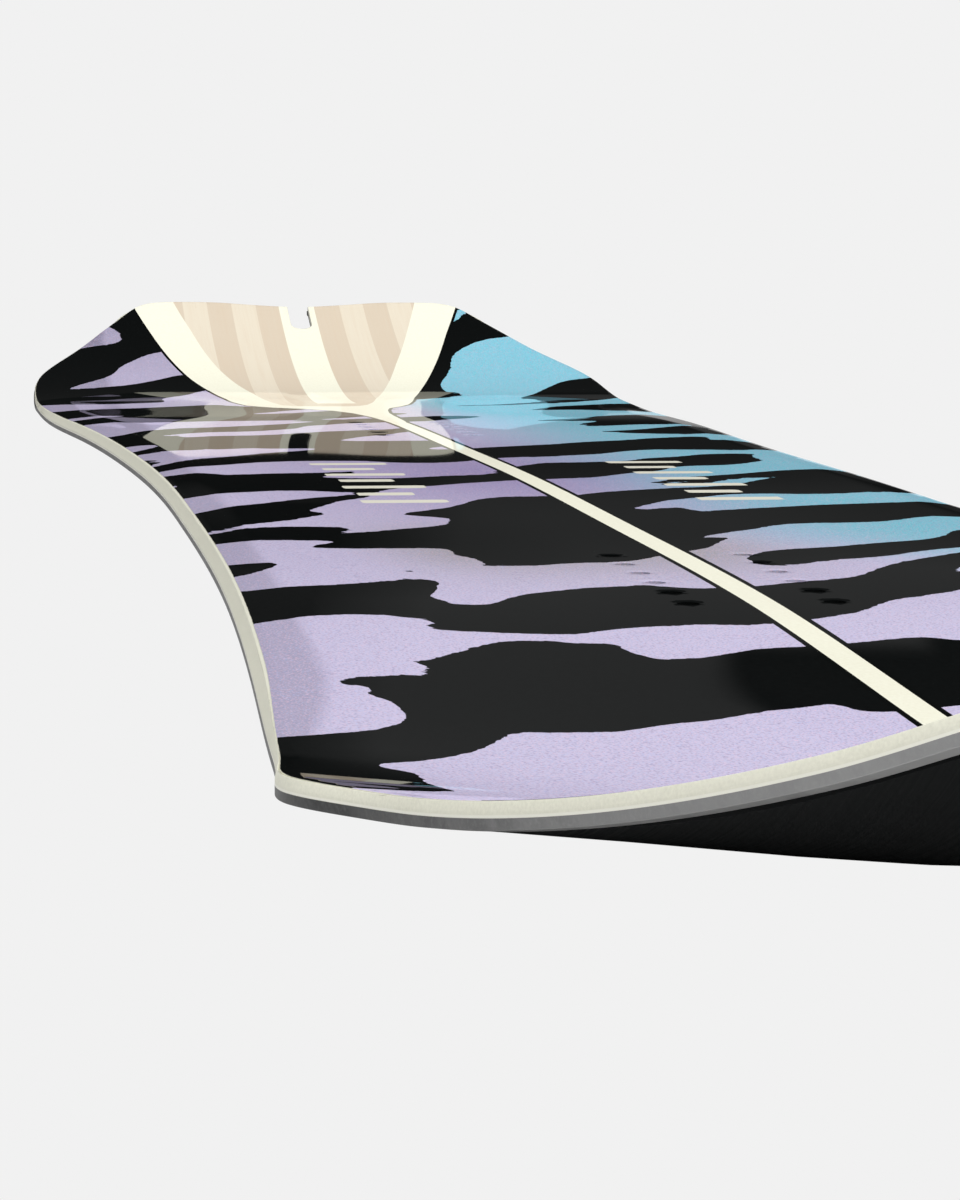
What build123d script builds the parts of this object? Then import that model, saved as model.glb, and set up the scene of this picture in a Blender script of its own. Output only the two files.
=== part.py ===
from build123d import *
import math
import os

# All-mountain snowboard, bare deck ready for bindings, laid up as a bonded sandwich.
# Frame: X across the board, Y along it towards the nose, Z up. The origin lies on the
# ground below the middle of the board's overall length. Every length is in millimetres.

# ---------------------------------------------------------------- driving dimensions
# Plan outline, right-hand half, from the tail tip round the side to the nose tip.
TAIL_TIP = [(0.0, -776.4), (32.0, -772.6), (63.5, -765.2), (80.4, -748.5), (94.1, -728.5)]
TAIL_FLANK = [(116.9, -688.5), (134.6, -648.3), (142.3, -627.6), (153.0, -606.5), (152.8, -584.4)]
REAR_SIDE = [(150.8, -556.3), (145.3, -460.0), (139.7, -338.0), (134.6, -118.6)]
FRONT_SIDE = [(142.0, 216.5), (161.9, 551.7)]
NOSE_FLANK = [(162.7, 606.7), (161.9, 636.7), (158.4, 661.7), (148.3, 686.7), (134.0, 711.7)]
NOSE_TIP = [(119.7, 736.7), (106.6, 756.7), (93.4, 771.6), (74.0, 775.9), (47.3, 776.4), (0.0, 772.3)]

# Camber line of the base between the two contact lines, height above the ground.
TAIL_CONTACT = -568.7
NOSE_CONTACT = 578.9
CAMBER_REAR = [(-475.0, 2.1), (-352.0, 6.2), (-179.0, 7.7), (-8.0, 8.2)]
CAMBER_FRONT = [(165.0, 6.3), (337.0, 3.9), (452.0, 1.1)]
CAMBER = CAMBER_REAR + CAMBER_FRONT

# Upturned ends: height = d^2 / (2 * radius) past the contact line; the tail's curve
# tightens with distance, by a factor 1 + progression * d.
NOSE_KICK_RADIUS = 410.0
TAIL_KICK_RADIUS = 820.0
TAIL_KICK_PROGRESSION = 0.005

# Spooned side bases: the outer bands of the base rise from a flat middle.
# The rises are those at SPOON_HALF_WIDTH from the middle, SPOON_LENGTH past the start.
FLAT_HALF_WIDTH = 24.0
SPOON_HALF_WIDTH = 150.0
SPOON_BLEND = 15.0
SPOON_LENGTH = 300.0
TAIL_SPOON_START = -93.0
TAIL_SPOON_RISE = 5.4
TAIL_SPOON_POWER = 1.25
NOSE_SPOON_START = 490.0
NOSE_SPOON_RISE = 3.0
NOSE_SPOON_POWER = 1.5

# Laminate, from the running surface up.
BASE_T = 1.3
FLANGE_T = 0.5
EDGE_H = 2.0
TOP_GLASS_T = 0.6
TOPSHEET_T = 0.5
EDGE_LIP_W = 2.2
FLANGE_W = 8.0
SIDEWALL_W = 9.0

# Overall thickness along the middle and how far the deck falls towards its rim.
WAIST_T = 8.0
TIP_T = 5.1
THICK_HALF_LENGTH = 350.0
THIN_HALF_LENGTH = 640.0
RIM_DROP = 1.5
CROWN_POWER = 6
CROWN_LIMIT = 1.2

# Milled sidewall: an upright strip above the steel, then a bevel in to the deck.
UPRIGHT_H = 3.0
BEVEL_IN_WAIST = 3.0
BEVEL_IN_TIP = 0.5

# Wood core strips: one wide strip along the middle and narrower ones on either side.
CENTRE_STRIP_W = 21.4
STRIP_W = 14.7
STRIPS_PER_SIDE = 8

# Tip pieces that close the ends of the two sidewalls, and the notch in the nose.
TIP_PIECE_START = 560.0
NOTCH_W = 12.5
NOTCH_DEPTH = 28.0
NOTCH_WALL = 4.75

# Binding inserts: two packs of two rows.
PACK_CENTRE = -8.4
STANCE = 590.0
ROW_GAP = 40.0
PITCH = 20.0
HOLES_PER_ROW = 6
BARREL_R = 4.5
FLANGE_R = 8.5
INSERT_FLANGE_T = 1.0
THREAD_R = 2.5
THREAD_FLOOR = 0.6
TOPSHEET_HOLE_R = 3.4

# Construction only: surfaces, prisms and cutters reach well past the board.
PAST_SIDE = 200.0
PAST_END = 800.0
PAST_HEIGHT = 120.0
ROWS = 27
ROW_PITCH = 62.0
END_SHARE = 0.215
END_STEPS = 9
SIDE_STEPS = 5


# ---------------------------------------------------------------- height functions
def smooth(a, b, x):
    s = min(max((x - a) / (b - a), 0.0), 1.0)
    return s * s * (3.0 - 2.0 * s)


# The first and last camber points are repeated beyond the contact lines, mirrored, so
# that the line is level where it touches the ground.
BEFORE = [(2.0 * TAIL_CONTACT - CAMBER[0][0], CAMBER[0][1]), (TAIL_CONTACT, 0.0)]
BEYOND = [(NOSE_CONTACT, 0.0), (2.0 * NOSE_CONTACT - CAMBER[-1][0], CAMBER[-1][1])]
CAMBER_LINE = Spline(BEFORE + CAMBER + BEYOND)


def camber_height(y):
    """Base height between the contact lines, read from the camber spline."""
    low = 0.0
    high = 1.0
    for _ in range(40):
        mid = 0.5 * (low + high)
        if (CAMBER_LINE @ mid).X < y:
            low = mid
        else:
            high = mid
    return (CAMBER_LINE @ low).Y


def centre_height(y):
    if y > NOSE_CONTACT:
        d = y - NOSE_CONTACT
        return d * d / (2.0 * NOSE_KICK_RADIUS)
    if y < TAIL_CONTACT:
        d = TAIL_CONTACT - y
        return d * d / (2.0 * TAIL_KICK_RADIUS) * (1.0 + TAIL_KICK_PROGRESSION * d)
    return camber_height(y)


def spoon_height(x, y):
    """Rise of the side bases: zero on the flat middle, straight further out."""
    run = max(abs(x) - FLAT_HALF_WIDTH, 0.0)
    full = math.hypot(SPOON_HALF_WIDTH - FLAT_HALF_WIDTH, SPOON_BLEND) - SPOON_BLEND
    share = (math.hypot(run, SPOON_BLEND) - SPOON_BLEND) / full
    tail = TAIL_SPOON_RISE * (max(TAIL_SPOON_START - y, 0.0) / SPOON_LENGTH) ** TAIL_SPOON_POWER
    nose = NOSE_SPOON_RISE * (max(y - NOSE_SPOON_START, 0.0) / SPOON_LENGTH) ** NOSE_SPOON_POWER
    return (tail + nose) * share


def deck_thickness(y):
    return WAIST_T + (TIP_T - WAIST_T) * smooth(THICK_HALF_LENGTH, THIN_HALF_LENGTH, abs(y))


def rim_drop(y):
    return RIM_DROP * (1.0 - smooth(THICK_HALF_LENGTH, THIN_HALF_LENGTH, abs(y)))


def side_half_width(y):
    """Half-width of a plain parabolic sidecut, used only to scale the deck's crown."""
    if y > -118.6:
        return 134.6 + 27.3 * ((y + 118.6) / 670.3) ** 2
    return 134.6 + 14.6 * ((y + 118.6) / 437.8) ** 2


def spline_surface(height):
    """Smooth surface z = height(x, y), a little larger than the board."""
    shares = [0.35, 0.65, 0.86, 1.0, 1.12]
    us = [-s for s in reversed(shares)] + [0.0] + shares
    rows = []
    for k in range(ROWS):
        y = ROW_PITCH * (k - 0.5 * (ROWS - 1))
        half = side_half_width(min(max(y, -640.0), 600.0))
        centre = centre_height(y)
        rows.append([(u * half, y, centre + height(u * half, y, half)) for u in us])
    return Face.make_surface_from_array_of_points(rows, tol=0.05, min_deg=3, max_deg=3)


def base_height(x, y, half):
    return spoon_height(x, y)


def core_top_height(x, y, half):
    crown = min((abs(x) / half) ** CROWN_POWER, CROWN_LIMIT)
    top = deck_thickness(y) - rim_drop(y) * crown
    return spoon_height(x, y) + top - TOP_GLASS_T - TOPSHEET_T


# ---------------------------------------------------------------- plan outlines
def closed_spline(right_points):
    """Closed spline through the right-hand points and their mirror images."""
    left_points = [(-x, y) for x, y in reversed(right_points[1:-1])]
    return Spline(right_points + left_points, periodic=True)


RIGHT_SIDE = TAIL_TIP + TAIL_FLANK + REAR_SIDE + FRONT_SIDE + NOSE_FLANK + NOSE_TIP
OUTLINE = closed_spline(RIGHT_SIDE)


def outline_stations():
    """Positions along the right side, close together round both ends."""
    tail = [END_SHARE * k / END_STEPS for k in range(END_STEPS)]
    side = [END_SHARE + (1.0 - 2.0 * END_SHARE) * k / SIDE_STEPS for k in range(SIDE_STEPS)]
    nose = [1.0 - END_SHARE * k / END_STEPS for k in range(END_STEPS, -1, -1)]
    return tail + side + nose


def inset_point(t, inset):
    """Point at position t of the right side, moved in square to the outline."""
    point = OUTLINE @ (0.5 * t)
    along = OUTLINE % (0.5 * t)
    x = point.X - along.Y * inset
    y = point.Y + along.X * inset
    if t <= 0.0 or t >= 1.0:
        x = 0.0
    return x, y


def bevel_step(y):
    """How far the milled bevel runs in from the edge, narrow round the two ends."""
    waist_share = 1.0 - smooth(450.0, 600.0, abs(y))
    return BEVEL_IN_TIP + (BEVEL_IN_WAIST - BEVEL_IN_TIP) * waist_share


def plan(even=0.0, bevel_share=0.0):
    """Closed plan outline of arcs, moved in evenly or by a share of the local bevel."""
    stations = outline_stations()
    right = []
    for a, b in zip(stations[:-1], stations[1:]):
        through = []
        for t in (a, 0.5 * (a + b), b):
            step = bevel_step((OUTLINE @ (0.5 * t)).Y)
            through.append(inset_point(t, even + bevel_share * step))
        right.append(ThreePointArc(*through))
    left = [arc.mirror(Plane.YZ) for arc in right]
    return Face(Wire(right + left))


def tall(face):
    """Prism on a plan face that passes right through the board."""
    return Solid.extrude(face.moved(Location((0, 0, -10))), (0, 0, PAST_HEIGHT))


# ---------------------------------------------------------------- slabs
BASE_SURFACE = spline_surface(base_height)
CORE_TOP = spline_surface(core_top_height)


def slab(surface, start, height):
    """Layer of even height that follows a surface, from start above it."""
    return Solid.extrude(surface.moved(Location((0, 0, start))), (0, 0, height))


# ---------------------------------------------------------------- bevel
def bevel_section(t):
    """Triangle above the milled bevel, square to the outline at one station."""
    x, y = inset_point(t, 0.0)
    step = bevel_step(y)
    inner_x, inner_y = inset_point(t, step)
    rise = deck_thickness(inner_y) - rim_drop(inner_y) - UPRIGHT_H
    base = centre_height(y) + spoon_height(x, y) + UPRIGHT_H
    run_x = inner_x - x
    run_y = inner_y - y
    below = 0.5
    above = 1.2
    low = (x - below * run_x, y - below * run_y, base - below * rise)
    high = (inner_x + above * run_x, inner_y + above * run_y, base + rise + above * rise)
    far = (x - 3.0 * run_x / step, y - 3.0 * run_y / step, high[2])
    return Wire.make_polygon([low, high, far])


RIGHT_BEVEL = Solid.make_loft([bevel_section(t) for t in outline_stations()], ruled=True)
LEFT_BEVEL = RIGHT_BEVEL.mirror(Plane.YZ)


# ---------------------------------------------------------------- plan regions
def rectangle(x0, x1, y0, y1):
    corners = [(x0, y0), (x1, y0), (x1, y1), (x0, y1)]
    return Face(Wire.make_polygon(corners, close=True))


def slot(half_width, depth):
    """Slot open at the nose tip, with a round bottom."""
    tip = NOSE_TIP[-1][1]
    end = tip - depth + half_width
    top = tip + 20.0
    sides = [
        Line((half_width, top), (-half_width, top)),
        Line((-half_width, top), (-half_width, end)),
        ThreePointArc((-half_width, end), (0.0, end - half_width), (half_width, end)),
        Line((half_width, end), (half_width, top)),
    ]
    return Face(Wire(sides))


NOTCH = slot(0.5 * NOTCH_W, NOTCH_DEPTH)
NOTCH_BLOCK = slot(0.5 * NOTCH_W + NOTCH_WALL, NOTCH_DEPTH + NOTCH_WALL)
EDGE_PLAN = plan()
BASE_PLAN = plan(EDGE_LIP_W)
FLANGE_PLAN = plan(FLANGE_W)
CORE_PLAN = plan(SIDEWALL_W)
GLASS_PLAN = plan(bevel_share=0.76)
TOPSHEET_PLAN = plan(bevel_share=0.94)
RIM = EDGE_PLAN - CORE_PLAN
RIGHT_RUN = rectangle(0.0, PAST_SIDE, -TIP_PIECE_START, TIP_PIECE_START)
LEFT_RUN = rectangle(-PAST_SIDE, 0.0, -TIP_PIECE_START, TIP_PIECE_START)
NOSE_RUN = rectangle(-PAST_SIDE, PAST_SIDE, TIP_PIECE_START, PAST_END)
TAIL_RUN = rectangle(-PAST_SIDE, PAST_SIDE, -PAST_END, -TIP_PIECE_START)


# ---------------------------------------------------------------- layers
def layer(region, start, height):
    """Even layer over the base surface within a plan region."""
    return slab(BASE_SURFACE, start, height) & tall(region)


def filling(region):
    """Everything from the steel edge's top to the underside of the upper glass."""
    return layer(region, EDGE_H, 30.0) & slab(CORE_TOP, -60.0, 60.0)


def cover(region, start, height):
    """Even layer over the core within a plan region."""
    return slab(CORE_TOP, start, height) & tall(region)


def largest(shape):
    return max(shape.solids(), key=lambda solid: solid.volume)


def cylinders(radius, start, height):
    """One upright cylinder per insert; start is measured up from the base surface."""
    bodies = []
    for pack in (-1, 1):
        for side in (-1, 1):
            for k in range(HOLES_PER_ROW):
                x = 0.5 * side * ROW_GAP
                y = PACK_CENTRE + 0.5 * pack * STANCE + (k - 0.5 * (HOLES_PER_ROW - 1)) * PITCH
                z = centre_height(y) + start
                bodies.append(Solid.make_cylinder(radius, height, Plane((x, y, z))))
    return bodies


NODES = {}

# Running base inside the steel edge, open at the notch.
NODES["running_base"] = layer(BASE_PLAN - NOTCH, 0.0, BASE_T)

# Steel edge right round the board: an upright lip with a thin anchoring flange on its
# inner side, cut through at the notch.
lip = layer(EDGE_PLAN - BASE_PLAN - NOTCH, 0.0, EDGE_H)
flange = layer(BASE_PLAN - FLANGE_PLAN - NOTCH, BASE_T, FLANGE_T)
NODES["steel_edge"] = lip + flange

# Thin rubber foil that fills the space above the flange.
foil_start = BASE_T + FLANGE_T
NODES["edge_damping_foil"] = layer(BASE_PLAN - FLANGE_PLAN - NOTCH, foil_start, EDGE_H - foil_start)
NODES["lower_glass"] = layer(FLANGE_PLAN - NOTCH, BASE_T, EDGE_H - BASE_T)

# Threaded inserts: a round flange under a barrel with a blind thread bore.
flanges = []
for rod in cylinders(FLANGE_R, 0.0, 12.0):
    flanges.append(rod & slab(BASE_SURFACE, EDGE_H, INSERT_FLANGE_T))
barrels = []
for rod in cylinders(BARREL_R, EDGE_H + 0.5 * INSERT_FLANGE_T, 12.0):
    barrels.append(rod & slab(CORE_TOP, -30.0, 30.0))
bores = cylinders(THREAD_R, EDGE_H + THREAD_FLOOR, 12.0)
blanks = [f + b for f, b in zip(flanges, barrels)]
inserts = [blank - bore for blank, bore in zip(blanks, bores)]
half = len(inserts) // 2
NODES["tail_inserts"] = Compound(children=[largest(body) for body in inserts[:half]])
NODES["nose_inserts"] = Compound(children=[largest(body) for body in inserts[half:]])

# Wood core, glued up from lengthwise strips, with pockets for the inserts.
core = filling(CORE_PLAN - NOTCH_BLOCK)
for blank in blanks:
    core = core - blank
middle = 0.5 * CENTRE_STRIP_W
NODES["core_strip_center"] = core & tall(rectangle(-middle, middle, -PAST_END, PAST_END))
for k in range(1, STRIPS_PER_SIDE + 1):
    near = middle + (k - 1) * STRIP_W
    far = near + STRIP_W if k < STRIPS_PER_SIDE else PAST_SIDE
    NODES["core_strip_left_" + str(k)] = core & tall(rectangle(-far, -near, -PAST_END, PAST_END))
    NODES["core_strip_right_" + str(k)] = core & tall(rectangle(near, far, -PAST_END, PAST_END))

# Sidewalls and the two tip pieces that close the rim; the nose piece lines the notch.
NODES["sidewall_right"] = filling(RIM & RIGHT_RUN) - RIGHT_BEVEL
NODES["sidewall_left"] = filling(RIM & LEFT_RUN) - LEFT_BEVEL
nose_region = (RIM & NOSE_RUN) + (EDGE_PLAN & NOTCH_BLOCK) - NOTCH
NODES["nose_tip_piece"] = largest(filling(nose_region) - RIGHT_BEVEL - LEFT_BEVEL)
NODES["tail_tip_piece"] = largest(filling(RIM & TAIL_RUN) - RIGHT_BEVEL - LEFT_BEVEL)

# Upper glass and the printed topsheet, drilled over every insert.
upper_glass = cover(GLASS_PLAN - NOTCH, 0.0, TOP_GLASS_T)
topsheet = cover(TOPSHEET_PLAN - NOTCH, TOP_GLASS_T, TOPSHEET_T)
for drill in cylinders(TOPSHEET_HOLE_R, 0.0, 20.0):
    upper_glass = upper_glass - drill
    topsheet = topsheet - drill
NODES["upper_glass"] = upper_glass
NODES["topsheet"] = topsheet


# ---------------------------------------------------------------- export
os.makedirs("parts", exist_ok=True)
for name, shape in NODES.items():
    export_step(shape, "parts/" + name + ".step")
    print(name, round(shape.volume, 1))
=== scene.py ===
import math

import bmesh
import bpy
import numpy as np
from mathutils import Matrix, Vector
from mathutils.geometry import delaunay_2d_cdt


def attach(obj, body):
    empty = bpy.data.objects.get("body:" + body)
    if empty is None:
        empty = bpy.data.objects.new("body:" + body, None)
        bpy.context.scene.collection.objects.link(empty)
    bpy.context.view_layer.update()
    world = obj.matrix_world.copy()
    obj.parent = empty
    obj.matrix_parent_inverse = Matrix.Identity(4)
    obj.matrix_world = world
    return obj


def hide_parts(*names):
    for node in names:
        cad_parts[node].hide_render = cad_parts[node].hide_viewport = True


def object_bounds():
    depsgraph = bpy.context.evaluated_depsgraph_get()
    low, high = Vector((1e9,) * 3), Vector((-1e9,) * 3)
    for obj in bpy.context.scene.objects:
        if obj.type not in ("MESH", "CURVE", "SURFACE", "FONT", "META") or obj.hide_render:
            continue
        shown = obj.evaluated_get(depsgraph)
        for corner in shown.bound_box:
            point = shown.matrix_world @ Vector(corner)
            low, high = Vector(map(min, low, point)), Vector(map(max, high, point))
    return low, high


# Looks of a bare all-mountain snowboard. Frame: X across, Y towards the nose, Z up, metres.
# Lengths that describe the board's shape and print are in millimetres; MM turns them.
MM = 0.001

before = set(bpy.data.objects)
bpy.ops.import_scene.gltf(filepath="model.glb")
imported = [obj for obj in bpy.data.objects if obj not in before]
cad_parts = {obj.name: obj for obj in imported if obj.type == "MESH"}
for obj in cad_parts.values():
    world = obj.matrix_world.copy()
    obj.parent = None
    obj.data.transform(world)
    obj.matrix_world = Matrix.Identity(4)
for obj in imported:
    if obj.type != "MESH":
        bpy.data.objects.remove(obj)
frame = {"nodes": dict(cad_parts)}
CAD_LOW, CAD_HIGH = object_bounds()

# ---------------------------------------------------------------- board shape, as in the CAD
TAIL_TIP = [(0.0, -776.4), (32.0, -772.6), (63.5, -765.2), (80.4, -748.5), (94.1, -728.5)]
TAIL_FLANK = [(116.9, -688.5), (134.6, -648.3), (142.3, -627.6), (153.0, -606.5), (152.8, -584.4)]
REAR_SIDE = [(150.8, -556.3), (145.3, -460.0), (139.7, -338.0), (134.6, -118.6)]
FRONT_SIDE = [(142.0, 216.5), (161.9, 551.7)]
NOSE_FLANK = [(162.7, 606.7), (161.9, 636.7), (158.4, 661.7), (148.3, 686.7), (134.0, 711.7)]
NOSE_TIP = [(119.7, 736.7), (106.6, 756.7), (93.4, 771.6), (74.0, 775.9), (47.3, 776.4), (0.0, 772.3)]
TAIL_CONTACT = -568.7
NOSE_CONTACT = 578.9
CAMBER_REAR = [(-475.0, 2.1), (-352.0, 6.2), (-179.0, 7.7), (-8.0, 8.2)]
CAMBER_FRONT = [(165.0, 6.3), (337.0, 3.9), (452.0, 1.1)]
NOSE_KICK_RADIUS = 410.0
TAIL_KICK_RADIUS = 820.0
TAIL_KICK_PROGRESSION = 0.005
FLAT_HALF_WIDTH = 24.0
SPOON_HALF_WIDTH = 150.0
SPOON_BLEND = 15.0
SPOON_LENGTH = 300.0
TAIL_SPOON_START = -93.0
TAIL_SPOON_RISE = 5.4
TAIL_SPOON_POWER = 1.25
NOSE_SPOON_START = 490.0
NOSE_SPOON_RISE = 3.0
NOSE_SPOON_POWER = 1.5
WAIST_T = 8.0
TIP_T = 5.1
THICK_HALF_LENGTH = 350.0
THIN_HALF_LENGTH = 640.0
RIM_DROP = 1.5
TOPSHEET_T = 0.5
BEVEL_IN_WAIST = 3.0
BEVEL_IN_TIP = 0.5
TOPSHEET_BEVEL_SHARE = 0.94
NOTCH_W = 12.5
NOTCH_DEPTH = 28.0
PACK_CENTRE = -8.4
STANCE = 590.0
ROW_GAP = 40.0
PITCH = 20.0
HOLES_PER_ROW = 6
HOLE_R = 3.0
HOLE_WALL = 1.05
EDGE_H = 2.0
UPRIGHT_H = 3.0
TIP_PIECE_START = 560.0
BEYOND_TIP = 790.0


def smooth(a, b, v):
    s = np.clip((v - a) / (b - a), 0.0, 1.0)
    return s * s * (3.0 - 2.0 * s)


def open_spline(points):
    """Natural cubic spline y -> z through the points, as a function on arrays."""
    t, p = (np.array(column, float) for column in zip(*points))
    h = np.diff(t)
    n = len(t)
    matrix = np.eye(n)
    right = np.zeros(n)
    for i in range(1, n - 1):
        matrix[i, i - 1:i + 2] = h[i - 1], 2.0 * (h[i - 1] + h[i]), h[i]
        right[i] = 6.0 * ((p[i + 1] - p[i]) / h[i] - (p[i] - p[i - 1]) / h[i - 1])
    bend = np.linalg.solve(matrix, right)

    def value(at):
        k = np.clip(np.searchsorted(t, at) - 1, 0, n - 2)
        a = (t[k + 1] - at) / h[k]
        b = 1.0 - a
        return a * p[k] + b * p[k + 1] + ((a**3 - a) * bend[k] + (b**3 - b) * bend[k + 1]) * h[k]**2 / 6.0

    return value


def closed_spline(points, count):
    """Evenly spaced points on the closed cubic spline through the given points."""
    p = np.array(points, float)
    n = len(p)
    h = np.linalg.norm(np.roll(p, -1, 0) - p, axis=1)
    slope = (np.roll(p, -1, 0) - p) / h[:, None]
    matrix = np.zeros((n, n))
    for i in range(n):
        matrix[i, i - 1] += h[i - 1]
        matrix[i, i] += 2.0 * (h[i - 1] + h[i])
        matrix[i, (i + 1) % n] += h[i]
    bend = np.linalg.solve(matrix, 6.0 * (slope - np.roll(slope, 1, 0)))
    fine = []
    for i in range(n):
        b = np.linspace(0.0, 1.0, 60, endpoint=False)[:, None]
        a = 1.0 - b
        j = (i + 1) % n
        curve = (a**3 - a) * bend[i] + (b**3 - b) * bend[j]
        fine.append(a * p[i] + b * p[j] + curve * h[i]**2 / 6.0)
    fine = np.vstack(fine)
    steps = np.linalg.norm(np.roll(fine, -1, 0) - fine, axis=1)
    run = np.concatenate([[0.0], np.cumsum(steps)])
    closed = np.vstack([fine, fine[:1]])
    at = np.linspace(0.0, run[-1], count, endpoint=False)
    return np.stack([np.interp(at, run, closed[:, 0]), np.interp(at, run, closed[:, 1])], 1)


BEFORE = [(2.0 * TAIL_CONTACT - CAMBER_REAR[0][0], CAMBER_REAR[0][1]), (TAIL_CONTACT, 0.0)]
BEYOND = [(NOSE_CONTACT, 0.0), (2.0 * NOSE_CONTACT - CAMBER_FRONT[-1][0], CAMBER_FRONT[-1][1])]
camber = open_spline(BEFORE + CAMBER_REAR + CAMBER_FRONT + BEYOND)


def centre_height(y):
    nose = np.maximum(y - NOSE_CONTACT, 0.0)
    tail = np.maximum(TAIL_CONTACT - y, 0.0)
    kick = nose**2 / (2.0 * NOSE_KICK_RADIUS)
    kick = kick + tail**2 / (2.0 * TAIL_KICK_RADIUS) * (1.0 + TAIL_KICK_PROGRESSION * tail)
    return camber(np.clip(y, TAIL_CONTACT, NOSE_CONTACT)) + kick


TIP_LIFT = 2.0
RIDGE_LIFT = 0.45
RIDGE_AT = 31.0
RIDGE_HALF_WIDTH = 11.0


def fitted_height(x, y):
    """What the CAD's fitted surface adds at the tail: a lifted tip and two faint ridges."""
    tip = TIP_LIFT * smooth(-735.0, -778.0, y)
    across = np.exp(-(((np.abs(x) - RIDGE_AT) / RIDGE_HALF_WIDTH) ** 2))
    return tip + RIDGE_LIFT * across * smooth(-545.0, -575.0, y)


def spoon_height(x, y):
    """Rise of the side bases towards both ends, with the fitted surface's own departures."""
    run = np.maximum(np.abs(x) - FLAT_HALF_WIDTH, 0.0)
    full = math.hypot(SPOON_HALF_WIDTH - FLAT_HALF_WIDTH, SPOON_BLEND) - SPOON_BLEND
    share = (np.hypot(run, SPOON_BLEND) - SPOON_BLEND) / full
    tail = (np.maximum(TAIL_SPOON_START - y, 0.0) / SPOON_LENGTH) ** TAIL_SPOON_POWER
    nose = (np.maximum(y - NOSE_SPOON_START, 0.0) / SPOON_LENGTH) ** NOSE_SPOON_POWER
    return (TAIL_SPOON_RISE * tail + NOSE_SPOON_RISE * nose) * share + fitted_height(x, y)


def side_half_width(y):
    """Half-width of a plain parabolic sidecut, which places the deck's fold."""
    waist_x, waist_y = REAR_SIDE[-1]
    from_waist = np.clip(y, -640.0, 600.0) - waist_y
    front = waist_x + 27.3 * (from_waist / 670.3) ** 2
    rear = waist_x + 14.6 * (from_waist / 437.8) ** 2
    return np.where(from_waist > 0.0, front, rear)


# The deck is flat across and folds down over its outermost FOLD_W; the fold is rounded.
FOLD_W = 15.0
FOLD_SOFT = 0.06
FOLD_GAIN = 1.09


def deck_height(x, y):
    """Height of the printed surface, in millimetres."""
    thin = smooth(THICK_HALF_LENGTH, THIN_HALF_LENGTH, np.abs(y))
    past = 1.0 - (side_half_width(y) - np.abs(x)) / FOLD_W
    fold = FOLD_GAIN * np.clip(0.5 * (past + np.hypot(past, FOLD_SOFT)), 0.0, 1.1)
    top = WAIST_T + (TIP_T - WAIST_T) * thin - RIM_DROP * (1.0 - thin) * fold
    return centre_height(y) + spoon_height(x, y) + top


def bevel_step(y):
    """How far the milled bevel runs in from the edge, narrow round the two ends."""
    return BEVEL_IN_TIP + (BEVEL_IN_WAIST - BEVEL_IN_TIP) * (1.0 - smooth(450.0, 600.0, np.abs(y)))


def inward(loop):
    """Unit vectors square to the loop, pointing in."""
    along = np.roll(loop, -1, 0) - np.roll(loop, 1, 0)
    along /= np.linalg.norm(along, axis=1)[:, None]
    return np.stack([-along[:, 1], along[:, 0]], 1)


def inset(loop, distance):
    """Loop moved in, square to itself, by a distance that may vary along it."""
    return loop + inward(loop) * np.broadcast_to(distance, len(loop))[:, None]


RIGHT_SIDE = TAIL_TIP + TAIL_FLANK + REAR_SIDE + FRONT_SIDE + NOSE_FLANK + NOSE_TIP
LEFT_SIDE = [(-x, y) for x, y in reversed(RIGHT_SIDE[1:-1])]
SHEET_STATIONS = 1500
RIM_STATIONS = 2400
EDGE_LOOP = closed_spline(RIGHT_SIDE + LEFT_SIDE, SHEET_STATIONS)
NOTCH_END = NOSE_TIP[-1][1] - NOTCH_DEPTH + 0.5 * NOTCH_W
SHEET_LOOP = inset(EDGE_LOOP, TOPSHEET_BEVEL_SHARE * bevel_step(EDGE_LOOP[:, 1]))


def insert_points():
    """Middle of every insert hole."""
    points = []
    for pack in (-1, 1):
        for side in (-1, 1):
            for k in range(HOLES_PER_ROW):
                along = (k - 0.5 * (HOLES_PER_ROW - 1)) * PITCH
                points.append((0.5 * side * ROW_GAP, PACK_CENTRE + 0.5 * pack * STANCE + along))
    return points


def loop_distance(points, loop, reach):
    """Distance from each point to a closed loop, positive inside it, and at most reach."""
    start, end = loop, np.roll(loop, -1, 0)
    low, high = np.minimum(start[:, 1], end[:, 1]), np.maximum(start[:, 1], end[:, 1])
    result = np.empty(len(points))
    order = np.argsort(points[:, 1])
    for some in np.array_split(order, max(1, len(order) // 1500)):
        p = points[some, None, :]
        close = (high >= p[..., 1].min() - reach) & (low <= p[..., 1].max() + reach)
        if not close.any():
            result[some] = -reach
            continue
        a = start[close]
        run = end[close] - a
        off = p - a
        share = np.clip((off * run).sum(2) / (run**2).sum(1), 0.0, 1.0)
        gap = np.sqrt(((off - share[..., None] * run) ** 2).sum(2).min(1))
        crosses = (a[:, 1] > p[..., 1]) != (a[:, 1] + run[:, 1] > p[..., 1])
        rise = np.where(run[:, 1] == 0.0, 1e-9, run[:, 1])
        meets = a[:, 0] + off[..., 1] / rise * run[:, 0] > p[..., 0]
        inside = (crosses & meets).sum(1) % 2 == 1
        result[some] = np.where(inside, 1.0, -1.0) * np.minimum(gap, reach)
    return result


RIM_REACH = 20.0


def outer_distance(points):
    """Distance into the topsheet from its outer edge and the notch, at most RIM_REACH."""
    x, y = points[:, 0], points[:, 1]
    notch = np.hypot(x, np.minimum(y - NOTCH_END, 0.0)) - 0.5 * NOTCH_W
    return np.minimum(loop_distance(points, SHEET_LOOP, RIM_REACH), notch)


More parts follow.
